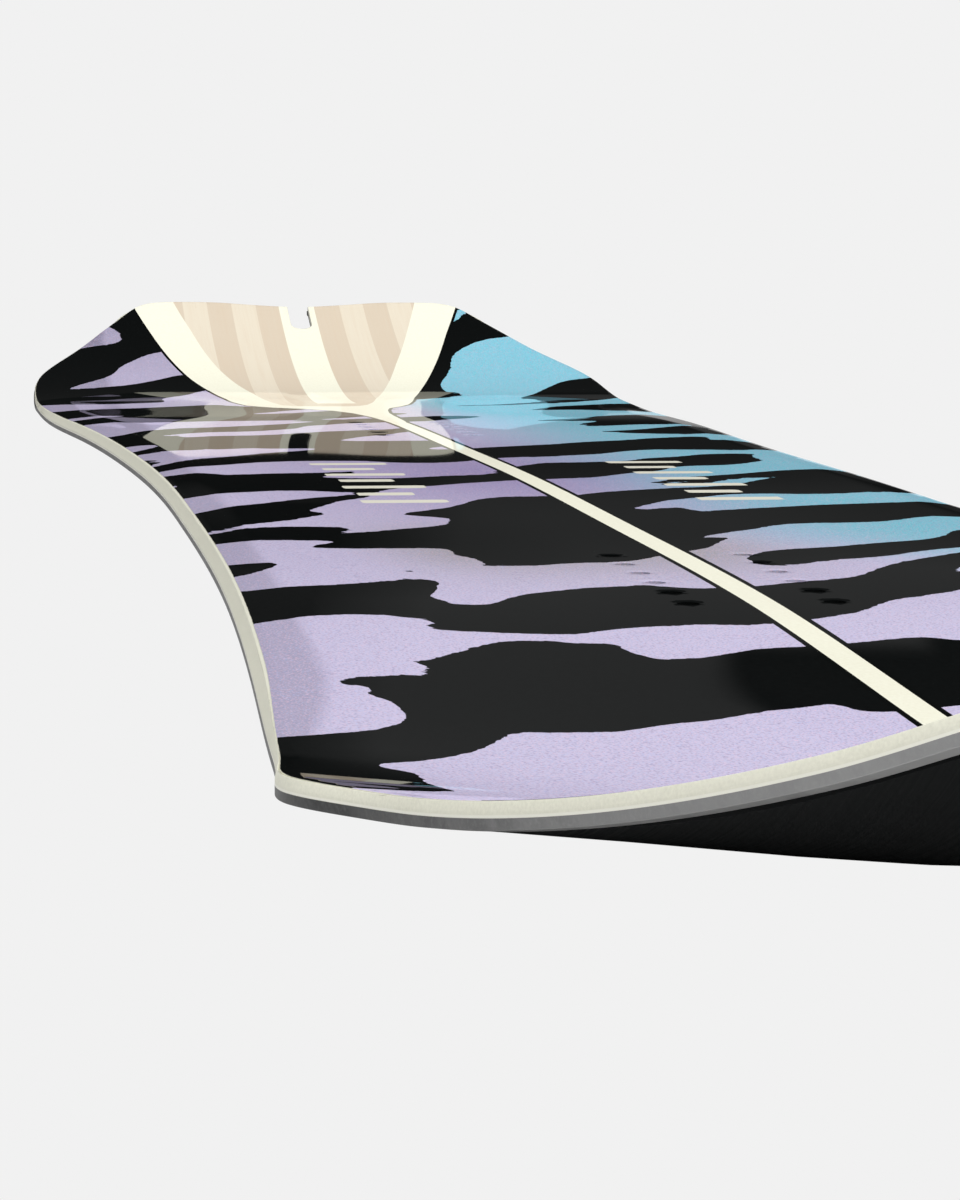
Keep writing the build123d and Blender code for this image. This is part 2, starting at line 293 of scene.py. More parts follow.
def sheet_distance(points):
    """Distance into the topsheet from its nearest cut edge, holes included."""
    x, y = points[:, 0], points[:, 1]
    depth = outer_distance(points)
    for hole_x, hole_y in insert_points():
        depth = np.minimum(depth, np.hypot(x - hole_x, y - hole_y) - HOLE_R)
    return depth


def slot_loop(half):
    """Outline of the nose notch with the given half-width, open past the tip."""
    turn = np.linspace(math.pi, 2.0 * math.pi, 25)
    bottom = np.stack([half * np.cos(turn), NOTCH_END + half * np.sin(turn)], 1)
    top = np.array([(half, BEYOND_TIP), (-half, BEYOND_TIP)])
    return np.vstack([bottom, top])


def ring(centre, radius, count=24):
    turn = np.linspace(0.0, 2.0 * math.pi, count, endpoint=False)
    return np.stack([centre[0] + radius * np.cos(turn), centre[1] + radius * np.sin(turn)], 1)


# The sheet's cut edges are eased over EASE in plan and EASE_DROP in height.
EASE = 0.35
EASE_DROP = 0.15
ON_EDGE = 0.02
GRID_HALF_WIDTH = 165.0
GRID_HALF_LENGTH = 780.0
PRINT_SPACING = 2.5
UNDERSIDE_SPACING = 12.5
WELD_M = 2e-6


def plan_mesh(spacing):
    """Points and faces of the topsheet's plan: an even grid, sewn to the cut edges."""
    half_columns = math.ceil(GRID_HALF_WIDTH / spacing)
    half_rows = math.ceil(GRID_HALF_LENGTH / spacing)
    xs = np.arange(-half_columns, half_columns + 1) * spacing
    ys = np.arange(-half_rows, half_rows + 1) * spacing
    grid_x, grid_y = np.meshgrid(xs, ys)
    nodes = np.stack([grid_x.ravel(), grid_y.ravel()], 1)
    deep = (sheet_distance(nodes) > EASE + 0.5 * spacing).reshape(grid_x.shape)
    cell = deep[:-1, :-1] & deep[1:, :-1] & deep[:-1, 1:] & deep[1:, 1:]
    row, column = np.where(cell)
    width = len(xs)
    corner = row * width + column
    quads = np.stack([corner, corner + 1, corner + width + 1, corner + width], 1)
    edges = np.concatenate([quads[:, [k, (k + 1) % 4]] for k in range(4)])
    unique, count = np.unique(np.sort(edges, 1), axis=0, return_counts=True)
    rim = unique[count == 1]
    rim_nodes, rim_edges = np.unique(rim, return_inverse=True)

    points = [nodes[rim_nodes]]
    links = [rim_edges.reshape(-1, 2)]
    loops = [SHEET_LOOP, inset(SHEET_LOOP, EASE)]
    loops += [slot_loop(0.5 * NOTCH_W), slot_loop(0.5 * NOTCH_W + EASE)]
    for middle in insert_points():
        loops += [ring(middle, HOLE_R), ring(middle, HOLE_R + EASE)]
    total = len(rim_nodes)
    for loop in loops:
        index = total + np.arange(len(loop))
        points.append(loop)
        links.append(np.stack([index, np.roll(index, -1)], 1))
        total += len(loop)
    given = [Vector(p) for p in np.vstack(points)]
    found, _, triangles, origin, _, _ = delaunay_2d_cdt(given, np.vstack(links).tolist(), [], 0, 1e-5)
    sewn = np.array(found)
    triangles = np.array(triangles)
    middle = sewn[triangles].mean(1)
    kept = sheet_distance(middle) > 0.0
    at_column = np.floor((middle[:, 0] - xs[0]) / spacing).astype(int)
    at_row = np.floor((middle[:, 1] - ys[0]) / spacing).astype(int)
    kept &= ~cell[np.clip(at_row, 0, cell.shape[0] - 1), np.clip(at_column, 0, cell.shape[1] - 1)]

    # Grid nodes keep their own number; the sewn points that are not grid nodes follow.
    number = len(nodes) + np.arange(len(sewn))
    for k, sources in enumerate(origin):
        grid_sources = [s for s in sources if s < len(rim_nodes)]
        if grid_sources:
            number[k] = rim_nodes[grid_sources[0]]
    everything = np.vstack([nodes, sewn])
    faces = quads.tolist() + number[triangles[kept]].tolist()
    used, renumbered = np.unique(np.concatenate([np.ravel(f) for f in faces]), return_inverse=True)
    out, start = [], 0
    for face in faces:
        out.append(renumbered[start:start + len(face)].tolist())
        start += len(face)
    return everything[used], out


def lifted(plan, drop):
    """Plan points raised to the deck, eased at the cut edges and lowered by drop."""
    x, y = plan[:, 0], plan[:, 1]
    at_edge = np.abs(sheet_distance(plan)) < ON_EDGE
    z = deck_height(x, y) - drop
    z = z - EASE_DROP * at_edge * (np.asarray(drop) == 0.0)
    return np.stack([x, y, z], 1) * MM


def build_topsheet(name):
    """Closed sheet: a fine printed face, a coarser underside and the cut edge between them."""
    top_plan, top_faces = plan_mesh(PRINT_SPACING)
    low_plan, low_faces = plan_mesh(UNDERSIDE_SPACING)
    top = lifted(top_plan, 0.0)
    low = lifted(low_plan, TOPSHEET_T)
    directed = {}
    for face in top_faces:
        for a, b in zip(face, face[1:] + face[:1]):
            directed[(a, b)] = True
    open_edges = [(a, b) for a, b in directed if (b, a) not in directed]
    skirt_of = {}
    skirt = []
    for a, b in open_edges:
        for k in (a, b):
            if k not in skirt_of:
                skirt_of[k] = len(top) + len(skirt)
                skirt.append(k)
    # Insert holes, well inside the outer edge, show a deeper wall than the sheet's own edge.
    wall = np.where(outer_distance(top_plan[skirt]) > 5.0, HOLE_WALL, TOPSHEET_T)
    skirt_points = lifted(top_plan[skirt], wall)
    faces = list(top_faces)
    faces += [[b, a, skirt_of[a], skirt_of[b]] for a, b in open_edges]
    base = len(top) + len(skirt)
    faces += [[base + k for k in reversed(face)] for face in low_faces]
    mesh = bpy.data.meshes.new(name)
    mesh.from_pydata(np.vstack([top, skirt_points, low]).tolist(), [], faces)
    piece = bpy.data.objects.new(name, mesh)
    bpy.context.scene.collection.objects.link(piece)
    weld(mesh)
    mesh.polygons.foreach_set("use_smooth", [True] * len(mesh.polygons))
    mesh.set_sharp_from_angle(angle=math.radians(50.0))
    return piece


def weld(mesh):
    work = bmesh.new()
    work.from_mesh(mesh)
    bmesh.ops.remove_doubles(work, verts=work.verts, dist=WELD_M)
    work.to_mesh(mesh)
    work.free()


# ---------------------------------------------------------------- the rim
def base_height(x, y):
    return centre_height(y) + spoon_height(x, y)


STATIONS = closed_spline(RIGHT_SIDE + LEFT_SIDE, RIM_STATIONS)
STATION_STEP = bevel_step(STATIONS[:, 1])

# Round the ends the rim stands a hair proud, so that it covers the layers behind it.
OUTSET = 0.42

FLANGE_LOW = 1.3
FLANGE_HIGH = 1.8
EDGE_IN = 2.2
FLANGE_IN = 8.0
WALL_IN = 8.9

# Corners of the rim's section: share of the bevel, inset, surface measured from, height on it.
SECTIONS = {
    "steel": [
        (0.0, 0.0, "base", 0.12),
        (0.0, 0.0, "base", 0.4),
        (0.0, 0.0, "base", EDGE_H),
        (0.0, EDGE_IN, "base", EDGE_H),
        (0.0, EDGE_IN, "base", FLANGE_HIGH),
        (0.0, FLANGE_IN, "base", FLANGE_HIGH),
        (0.0, FLANGE_IN, "base", FLANGE_LOW),
        (0.0, EDGE_IN, "base", FLANGE_LOW),
        (0.0, EDGE_IN, "base", 0.0),
        (0.0, 0.12, "base", 0.0),
    ],
    "wall": [
        (0.0, 0.0, "base", EDGE_H),
        (0.0, 0.0, "base", 2.3),
        (0.0, 0.0, "base", 2.6),
        (0.0, 0.0, "base", UPRIGHT_H - 0.1),
        (0.06, 0.0, "base", UPRIGHT_H + 0.1),
        (0.74, 0.0, "deck", -0.42),
        (0.95, 0.0, "deck", -0.2),
        (0.95, 0.3, "deck", -0.6),
        (0.0, WALL_IN, "deck", -1.15),
        (0.0, WALL_IN, "base", EDGE_H + 0.02),
    ],
}


def build_rim(name, kind, chosen):
    """Sweeps the rim's section along the chosen run of stations, closed at both ends."""
    loop, step = STATIONS[chosen], STATION_STEP[chosen]
    rows, heights = [], []
    square = inward(STATIONS)[chosen]
    proud = OUTSET * smooth(TIP_PIECE_START, TIP_PIECE_START + 40.0, np.abs(loop[:, 1]))
    for share, flat, surface, height in SECTIONS[kind]:
        distance = share * step + flat - proud
        x, y = (loop + square * distance[:, None]).T
        z = (deck_height(x, y) if surface == "deck" else base_height(x, y)) + height
        rows.append(np.stack([x, y, z], 1) * MM)
        heights.append(z - base_height(x, y))
    points = np.stack(rows, 1)
    count, corners = points.shape[:2]
    faces = []
    for i in range(count - 1):
        for k in range(corners):
            n = (k + 1) % corners
            faces.append((i * corners + k, i * corners + n, (i + 1) * corners + n, (i + 1) * corners + k))
    last = (count - 1) * corners
    faces.append(tuple(reversed(range(corners))))
    faces.append(tuple(last + k for k in range(corners)))
    mesh = bpy.data.meshes.new(name)
    mesh.from_pydata(points.reshape(-1, 3).tolist(), [], faces)
    piece = bpy.data.objects.new(name, mesh)
    bpy.context.scene.collection.objects.link(piece)
    level = np.stack(heights, 1).ravel().astype(np.float32)
    mesh.attributes.new("level", "FLOAT", "POINT").data.foreach_set("value", level)
    mesh.polygons.foreach_set("use_smooth", [True] * len(mesh.polygons))
    mesh.set_sharp_from_angle(angle=math.radians(24.0))
    return piece


def run_between(first, last):
    """Station numbers from first to last, on past the end of the list where needed."""
    count = len(STATIONS)
    return np.arange(first, last + (count if last < first else 0) + 1) % count


def nearest_station(y, side):
    """Station nearest to y on the right (side 1) or the left (side -1)."""
    wrong_side = 1e6 * (side * STATIONS[:, 0] < 0.0)
    return int(np.argmin(np.abs(STATIONS[:, 1] - y) + wrong_side))


def notch_station(side):
    """Nose station where the rim stops beside the notch, on the right (1) or the left (-1)."""
    not_nose = 1e6 * (STATIONS[:, 1] <= 700.0)
    return int(np.argmin(np.abs(STATIONS[:, 0] - side * (0.5 * NOTCH_W + 0.2)) + not_nose))


def build_rims():
    """Steel edge, the two sidewalls and the tail tip piece, with the node and slot of each."""
    tail_right, tail_left = nearest_station(-TIP_PIECE_START, 1), nearest_station(-TIP_PIECE_START, -1)
    nose_right, nose_left = nearest_station(TIP_PIECE_START, 1), nearest_station(TIP_PIECE_START, -1)
    runs = [
        ("edge_steel", "steel", notch_station(-1), notch_station(1), "steel_edge", "steel"),
        ("wall_right", "wall", tail_right, nose_right, "sidewall_right", "sidewall"),
        ("wall_left", "wall", nose_left, tail_left, "sidewall_left", "sidewall"),
        ("tail_rim", "wall", tail_left, tail_right, "tail_tip_piece", "sidewall"),
    ]
    return [(build_rim(name, kind, run_between(first, last)), node, slot)
            for name, kind, first, last, node, slot in runs]


# ---------------------------------------------------------------- the print
# The centre stripe widens into a bowl-shaped window on the nose.
# Left and right borders as (y, x): the cream band's outer edge and the veneer's edge.
STRIPE_HALF = 3.95
BAND_LEFT = [(340, -4.1), (400, -5.0), (450, -7.0), (485, -13.0), (506, -24.0),
             (525, -41.0), (545, -52.0), (575, -56.0), (600, -58.5), (625, -64.0),
             (660, -73.5), (700, -83.0), (735, -91.0), (772, -100.0)]
BAND_RIGHT = [(340, 4.6), (370, 6.2), (410, 8.6), (450, 11.8), (490, 16.5),
              (515, 21.0), (535, 30.0), (555, 37.0), (580, 42.5), (605, 47.5),
              (635, 56.0), (670, 66.5), (700, 75.5), (735, 85.5), (772, 97.5)]
VEIN_LEFT = [(536, -16.0), (540, -28.0), (552, -33.0), (572, -35.0), (590, -36.5),
             (620, -41.0), (650, -48.5), (680, -55.5), (710, -61.5), (740, -67.0),
             (775, -75.0)]
VEIN_RIGHT = [(536, 1.0), (540, 8.0), (552, 14.0), (575, 20.0), (600, 25.0),
              (630, 33.5), (660, 41.5), (690, 49.0), (715, 56.0), (745, 64.0),
              (775, 72.0)]
VEIN_START = 536.0
HALF_VEIN = 10.7
CREAM_VEIN_START = 566.0


def between(left, right, x, y):
    """Distance in from the nearer of two borders that run along the board."""
    low = np.interp(y, *zip(*left))
    high = np.interp(y, *zip(*right))
    return np.minimum(x - low, high - x)


# Two plain marks of upright bars, one on each side of the waist; long and short bars alternate.
BAR_HALF_W = 5.0
BAR_PITCH = 26.0
BAR_COUNT = 7
LONG_BAR, SHORT_BAR = 15.0, 10.0
SHORT_BAR_SHIFT = -3.0
MARKS = [(-58.0, -92.0), (60.0, -90.0)]


def bar_distance(x, y):
    """Distance into the nearest bar of the two marks."""
    depth = np.full(len(x), -np.inf)
    for mark_x, mark_y in MARKS:
        for k in range(BAR_COUNT):
            half = SHORT_BAR if k % 2 else LONG_BAR
            bar_x = mark_x + (SHORT_BAR_SHIFT if k % 2 else 0.0)
            bar_y = mark_y + k * BAR_PITCH
            inside = np.minimum(half - np.abs(x - bar_x), BAR_HALF_W - np.abs(y - bar_y))
            depth = np.maximum(depth, inside)
    return depth


# (y, half-width) of the crease where the side bases turn up; outside it the print is darkened as painted
# shade.
CREASE = [(-620.0, 160.0), (-596.0, 154.0), (-566.0, 146.0), (-528.0, 138.0), (-500.0, 133.5),
          (-474.0, 130.5), (-376.0, 127.5), (-265.0, 124.5), (-108.0, 120.0)]
CREASE_SHADE = 0.33
NOSE_SHADE = 0.50
TEAL_SHADE = 0.10


def crease_at(y):
    return np.interp(y, *zip(*CREASE))


def add_print_fields(piece):
    """Stores on the sheet's points how far each lies inside every part of the print."""
    mesh = piece.data
    co = np.empty(len(mesh.vertices) * 3)
    mesh.vertices.foreach_get("co", co)
    points = co.reshape(-1, 3)[:, :2] / MM
    x, y = points[:, 0], points[:, 1]
    fields = {
        "band": np.where(y < BAND_LEFT[0][0], STRIPE_HALF - np.abs(x),
                         between(BAND_LEFT, BAND_RIGHT, x, y)),
        "wood": np.minimum(between(VEIN_LEFT, VEIN_RIGHT, x, y), y - VEIN_START),
        "vein": np.minimum(HALF_VEIN - np.abs(x + 0.8), y - CREAM_VEIN_START),
        "rim": outer_distance(points),
        "bars": bar_distance(x, y),
        "along": y * MM,
    }
    # Turquoise starts at turn, spreads over spread, and lies further right over the tail.
    turn = 46.0 + 50.0 * smooth(-180.0, -320.0, y) - 6.0 * smooth(350.0, 560.0, y)
    spread = 46.0 - 26.0 * smooth(350.0, 520.0, y)
    fields["teal"] = smooth(-1.0, 1.0, (x - turn) / spread)
    # Painted shade set by place: darker on the left of the nose and outside the left crease; the turquoise
    # is also darker away from the nose.
    painted_nose_shade = NOSE_SHADE * smooth(560.0, 770.0, y) * (x < 0.0)
    # Painted shade: the print outside the left crease is darkened.
    painted_crease_shade = CREASE_SHADE * smooth(-1.0, 1.0, (-crease_at(y) - x) / 2.0) * smooth(-640.0, -600.0, y)
    teal_shade = TEAL_SHADE * fields["teal"] * (1.0 - smooth(300.0, 560.0, y))
    fields["shade"] = 1.0 - painted_nose_shade - painted_crease_shade - teal_shade
    fields["deep"] = np.exp(-((y - 20.0) / 190.0) ** 2) * smooth(-135.0, 0.0, x)
    grey = np.exp(-((y + 235.0) / 62.0) ** 2) * smooth(-105.0, -60.0, x) * (1.0 - smooth(0.0, 60.0, x))
    fields["grey"] = np.clip(grey, 0.0, 1.0)
    for name, values in fields.items():
        mesh.attributes.new(name, "FLOAT", "POINT").data.foreach_set("value", values.astype(np.float32))


# ---------------------------------------------------------------- node helpers
def put(tree, kind, settings=None, inputs=None):
    """Adds a node; inputs are values or sockets, keyed by socket name or number."""
    node = tree.nodes.new("ShaderNode" + kind)
    for key, value in (settings or {}).items():
        setattr(node, key, value)
    for key, value in (inputs or {}).items():
        if isinstance(value, bpy.types.NodeSocket):
            tree.links.new(value, node.inputs[key])
        else:
            node.inputs[key].default_value = value
    return node


def maths(tree, operation, *values):
    return put(tree, "Math", {"operation": operation}, dict(enumerate(values))).outputs[0]


def ranged(tree, value, low, high, to_low=0.0, to_high=1.0):
    inputs = {"Value": value, "From Min": low, "From Max": high, "To Min": to_low, "To Max": to_high}
    return put(tree, "MapRange", None, inputs).outputs["Result"]


def blended(tree, share, first, second, mode="MIX"):
    """Colour mix; first and second are colours or sockets."""
    node = tree.nodes.new("ShaderNodeMix")
    node.data_type = "RGBA"
    node.blend_type = mode
    for key, value in ((0, share), (6, first), (7, second)):
        if isinstance(value, bpy.types.NodeSocket):
            tree.links.new(value, node.inputs[key])
        elif key == 0:
            node.inputs[key].default_value = value
        else:
            node.inputs[key].default_value = (*value, 1.0)
    return node.outputs[2]


def attribute(tree, name):
    return put(tree, "Attribute", {"attribute_name": name}).outputs["Fac"]


def place(tree, scale=(1.0, 1.0, 1.0), turn=(0.0, 0.0, 0.0)):
    """The piece's own coordinates in metres, turned and then stretched."""
    own = put(tree, "TexCoord").outputs["Object"]
    turned = put(tree, "VectorRotate", {"rotation_type": "EULER_XYZ"}, {"Vector": own, "Rotation": turn})
    return put(tree, "VectorMath", {"operation": "MULTIPLY"}, {0: turned.outputs[0], 1: scale}).outputs[0]


def noise(tree, vector, scale, detail=2.0, rough=0.5, output=0):
    inputs = {"Vector": vector, "Scale": scale, "Detail": detail, "Roughness": rough}
    return put(tree, "TexNoise", None, inputs).outputs[output]


def linear(r, g, b):
    """Display colour, 0 to 255, as the linear colour that a shader takes."""
    def one(v):
        v /= 255.0
        return v / 12.92 if v <= 0.04045 else ((v + 0.055) / 1.055) ** 2.4
    return one(r), one(g), one(b)


def new_material(name):
    material = bpy.data.materials.new(name)
    material.use_nodes = True
    tree = material.node_tree
    tree.nodes.clear()
    shader = put(tree, "BsdfPrincipled")
    output = put(tree, "OutputMaterial")
    tree.links.new(shader.outputs[0], output.inputs[0])
    return material, tree, shader


def bumped(tree, shader, height, strength, distance):
    inputs = {"Height": height, "Strength": strength, "Distance": distance}
    node = put(tree, "Bump", None, inputs)
    tree.links.new(node.outputs[0], shader.inputs["Normal"])
    return node


# ---------------------------------------------------------------- materials
LILAC = linear(194, 187, 213)
DEEP = linear(134, 119, 165)
TEAL = linear(92, 200, 214)
GREY = linear(152, 148, 142)
BLACK = linear(8, 10, 10)
CREAM = linear(244, 243, 225)
WOOD_LIGHT = linear(226, 216, 197)
WOOD_TAN = linear(214, 200, 180)
CHARCOAL = linear(11, 13, 13)
SPECKLE = 0.8
PINK_DOT = linear(226, 190, 208)
BLUE_DOT = linear(170, 184, 226)
DARK_DOT = linear(150, 142, 172)
COAT = 0.45
LINE_W = 1.8


STROKE_LEAN = math.radians(-38.0)
STROKE_DRIFT = 0.07
STROKES_PER_M = (6.0, 17.0, 0.0)
STROKE_GAIN = 150.0
STROKE_LEVEL = 0.503


def stroke_depth(tree, flat):
    """Generic camouflage strokes that lean across the board: how far inside, roughly in mm."""
    drift = noise(tree, flat, 8.0, 2.0, 0.5, 1)
    drifted = put(tree, "VectorMath", {"operation": "MULTIPLY_ADD"},
                  {0: drift, 1: (STROKE_DRIFT, STROKE_DRIFT, 0.0), 2: flat})
    turned = put(tree, "VectorRotate", {"rotation_type": "EULER_XYZ"},
                 {"Vector": drifted.outputs[0], "Rotation": (0.0, 0.0, STROKE_LEAN)})
    drawn = put(tree, "VectorMath", {"operation": "MULTIPLY"}, {0: turned.outputs[0], 1: STROKES_PER_M})
    body = noise(tree, drawn.outputs[0], 1.0, 1.6, 0.42)
    return maths(tree, "MULTIPLY", maths(tree, "SUBTRACT", body, STROKE_LEVEL), STROKE_GAIN)


def topsheet_material():
    material, tree, shader = new_material("printed_topsheet")
    flat = place(tree)
    # Torn patch edges: a fine ragged line everywhere, and teeth where a stroke ends.
    ragged = maths(tree, "SUBTRACT", noise(tree, flat, 190.0, 4.0, 0.55), 0.5)
    strokes = place(tree, (230.0, 9.0, 1.0), (0.0, 0.0, math.radians(-47.0)))
    teeth = maths(tree, "SUBTRACT", noise(tree, strokes, 1.0, 3.0, 0.6), 0.5)
    torn = maths(tree, "MULTIPLY_ADD", ragged, 1.5, stroke_depth(tree, flat))
    torn = maths(tree, "MULTIPLY_ADD", teeth, 2.6, torn)
    inked = ranged(tree, torn, -0.06, 0.06)

    # Colour of the patches: lilac, deeper in the middle, turquoise to the right.
    cloud = noise(tree, flat, 9.0, 2.0)
    tint = blended(tree, attribute(tree, "deep"), LILAC, DEEP)
    tint = blended(tree, attribute(tree, "grey"), tint, GREY)
    tint = blended(tree, attribute(tree, "teal"), tint, TEAL)
    tint = blended(tree, ranged(tree, cloud, 0.3, 0.7, 0.0, 0.06), tint, (0.8, 0.78, 0.9))
    # Painted shade: the tint is darkened by the shade attribute, on the left of the nose and outside the
    # left crease.
    tint = blended(tree, maths(tree, "SUBTRACT", 1.0, attribute(tree, "shade")), tint, (0.0, 0.0, 0.0))
    # Fine pink and blue printing dots over the tint.
    for scale, ink in ((1900.0, PINK_DOT), (2300.0, BLUE_DOT), (1500.0, DARK_DOT)):
        dots = ranged(tree, noise(tree, flat, scale, 1.0, 0.5), 0.5, 0.75, 0.0, SPECKLE)
        tint = blended(tree, dots, tint, ink)
    ground = blended(tree, ranged(tree, noise(tree, flat, 700.0, 2.0), 0.35, 0.65), BLACK, CHARCOAL)
    colour = blended(tree, inked, ground, tint)

    # Cream stripe and window border with a black line outside, veneer strips inside.
    band = attribute(tree, "band")
    line = ranged(tree, band, -LINE_W - 0.05, -LINE_W + 0.05)
    colour = blended(tree, line, colour, BLACK)
    cream_grain = ranged(tree, noise(tree, flat, 1100.0, 2.0), 0.3, 0.7)
    cream = blended(tree, cream_grain, CREAM, linear(238, 236, 216))
    # Painted shade: the stripe over the tail is darkened a shade below the window's border.
    painted_stripe_shade = ranged(tree, attribute(tree, "along"), -0.45, -0.2, 0.1, 0.0)
    cream = blended(tree, painted_stripe_shade, cream, (0.0, 0.0, 0.0))
    colour = blended(tree, ranged(tree, band, -0.05, 0.05), colour, cream)
    across = maths(tree, "ABSOLUTE", put(tree, "SeparateXYZ", None, {0: flat}).outputs[0])
    strips = maths(tree, "DIVIDE", maths(tree, "SUBTRACT", across, HALF_VEIN * MM), 14.7 * MM)
    odd = maths(tree, "MODULO", maths(tree, "FLOOR", strips), 2.0)
    grain = noise(tree, place(tree, (620.0, 14.0, 1.0)), 1.0, 4.0, 0.6)
    fleck = noise(tree, place(tree, (2600.0, 120.0, 1.0)), 1.0, 2.0, 0.6)
    veneer = blended(tree, odd, WOOD_TAN, WOOD_LIGHT)
    veneer = blended(tree, ranged(tree, grain, 0.42, 0.75, 0.0, 0.2), veneer, linear(212, 188, 160))
    veneer = blended(tree, ranged(tree, fleck, 0.62, 0.8, 0.0, 0.25), veneer, linear(200, 176, 148))
    in_wood = ranged(tree, attribute(tree, "wood"), -0.05, 0.05)
    beside = ranged(tree, attribute(tree, "vein"), 0.05, -0.05)
    colour = blended(tree, maths(tree, "MULTIPLY", in_wood, beside), colour, veneer)
    colour = blended(tree, ranged(tree, attribute(tree, "bars"), -0.05, 0.05), colour, linear(222, 219, 204))
    # The cut edge shows the sheet's own cream plastic.
    edge = ranged(tree, maths(tree, "MULTIPLY_ADD", ragged, 0.25, attribute(tree, "rim")), 0.16, 0.08)
    colour = blended(tree, edge, colour, linear(214, 212, 196))
    tree.links.new(colour, shader.inputs["Base Color"])
    smudge = noise(tree, flat, 30.0, 4.0, 0.6)
    tree.links.new(ranged(tree, smudge, 0.3, 0.7, 0.34, 0.46), shader.inputs["Roughness"])
    shader.inputs["Specular IOR Level"].default_value = 0.0
    shader.inputs["Coat Weight"].default_value = COAT
    shader.inputs["Coat Roughness"].default_value = 0.02
    shader.inputs["Coat IOR"].default_value = 1.5
    bumped(tree, shader, noise(tree, flat, 420.0, 2.0), 0.02, 0.0002)
    return material


def plastic_material(name, colour, shade, scale, rough, bump):
    """Milled plastic: fine cutter grain and slight mottling."""
    material, tree, shader = new_material(name)
    flat = place(tree)
    mottle = noise(tree, flat, scale, 3.0)
    tint = blended(tree, ranged(tree, mottle, 0.3, 0.7), colour, shade)
    grain = noise(tree, flat, 3.0 * scale, 2.0)
    tint = blended(tree, ranged(tree, grain, 0.35, 0.65, 0.0, 0.3), tint, tuple(0.86 * c for c in colour))
    tree.links.new(tint, shader.inputs["Base Color"])
    tree.links.new(ranged(tree, mottle, 0.3, 0.7, rough - 0.06, rough + 0.08), shader.inputs["Roughness"])
    bumped(tree, shader, mottle, bump, 0.0002)
    return material


def steel_material(name, colour, rough, turn):
    """Ground steel: close diagonal grinding lines, dulled in patches."""
    material, tree, shader = new_material(name)
    lines = noise(tree, place(tree, (900.0, 40.0, 300.0), (0.0, 0.0, math.radians(turn))), 1.0, 4.0, 0.65)
    patches = noise(tree, place(tree), 120.0, 3.0)
    tint = blended(tree, ranged(tree, lines, 0.3, 0.7), tuple(0.7 * c for c in colour), colour)
    tint = blended(tree, ranged(tree, patches, 0.5, 0.75, 0.0, 0.4), tint, tuple(1.5 * c for c in colour))
    tree.links.new(tint, shader.inputs["Base Color"])
    shader.inputs["Metallic"].default_value = 0.85
    tree.links.new(ranged(tree, lines, 0.3, 0.7, rough, rough + 0.18), shader.inputs["Roughness"])
    bumped(tree, shader, lines, 0.15, 0.0002)
    return material


def base_material():
    """Sintered black base with the fine lengthwise structure of a stone grind."""
    material, tree, shader = new_material("sintered_base")
    structure = noise(tree, place(tree, (1400.0, 12.0, 1.0), (0.0, 0.0, math.radians(4.0))), 1.0, 3.0, 0.6)
    flecks = noise(tree, place(tree), 900.0, 2.0)
    shares = ranged(tree, structure, 0.3, 0.7)
    tint = blended(tree, shares, (0.0066, 0.0072, 0.0074), (0.0080, 0.0088, 0.0090))
    tint = blended(tree, ranged(tree, flecks, 0.64, 0.7, 0.0, 0.3), tint, (0.014, 0.014, 0.015))
    tree.links.new(tint, shader.inputs["Base Color"])
    tree.links.new(ranged(tree, structure, 0.3, 0.7, 0.36, 0.52), shader.inputs["Roughness"])
    shader.inputs["Specular IOR Level"].default_value = 0.03
    bumped(tree, shader, structure, 0.02, 0.0001)
    return material


def glass_material():
    """Glass laminate in pale resin, with crossing fibre bundles."""
    material, tree, shader = new_material("glass_laminate")
    warp = noise(tree, place(tree, (700.0, 30.0, 1.0), (0.0, 0.0, math.radians(45.0))), 1.0, 2.0)
    weft = noise(tree, place(tree, (700.0, 30.0, 1.0), (0.0, 0.0, math.radians(-45.0))), 1.0, 2.0)
    weave = maths(tree, "MAXIMUM", warp, weft)
    tint = blended(tree, ranged(tree, weave, 0.45, 0.7), linear(196, 194, 176), linear(226, 224, 208))
    tree.links.new(tint, shader.inputs["Base Color"])
    tree.links.new(ranged(tree, weave, 0.4, 0.7, 0.3, 0.5), shader.inputs["Roughness"])
    bumped(tree, shader, weave, 0.15, 0.0002)
    return material


def wood_material(name, early, late, seed):
    """Core strip: straight grain along the board with darker late-wood lines and pores."""
    material, tree, shader = new_material(name)
    own = place(tree, (260.0, 5.0, 160.0))
    moved = put(tree, "VectorMath", {"operation": "ADD"}, {0: own, 1: (seed, 0.0, 0.0)}).outputs[0]
    rings = noise(tree, moved, 1.0, 4.0, 0.6)
    pores = noise(tree, place(tree, (3000.0, 90.0, 3000.0)), 1.0, 1.0)
    tint = blended(tree, ranged(tree, rings, 0.35, 0.65), early, late)
    tint = blended(tree, ranged(tree, pores, 0.66, 0.76, 0.0, 0.5), tint, tuple(0.55 * c for c in late))
    tree.links.new(tint, shader.inputs["Base Color"])
    tree.links.new(ranged(tree, rings, 0.3, 0.7, 0.5, 0.7), shader.inputs["Roughness"])
    bumped(tree, shader, rings, 0.2, 0.0003)
    return material


def rubber_material():
    material, tree, shader = new_material("damping_rubber")
    grain = noise(tree, place(tree), 1300.0, 3.0)
    tint = blended(tree, ranged(tree, grain, 0.3, 0.7), (0.012, 0.012, 0.012), (0.03, 0.03, 0.03))
    tree.links.new(tint, shader.inputs["Base Color"])
    tree.links.new(ranged(tree, grain, 0.3, 0.7, 0.6, 0.8), shader.inputs["Roughness"])
    bumped(tree, shader, grain, 0.2, 0.0002)
    return material


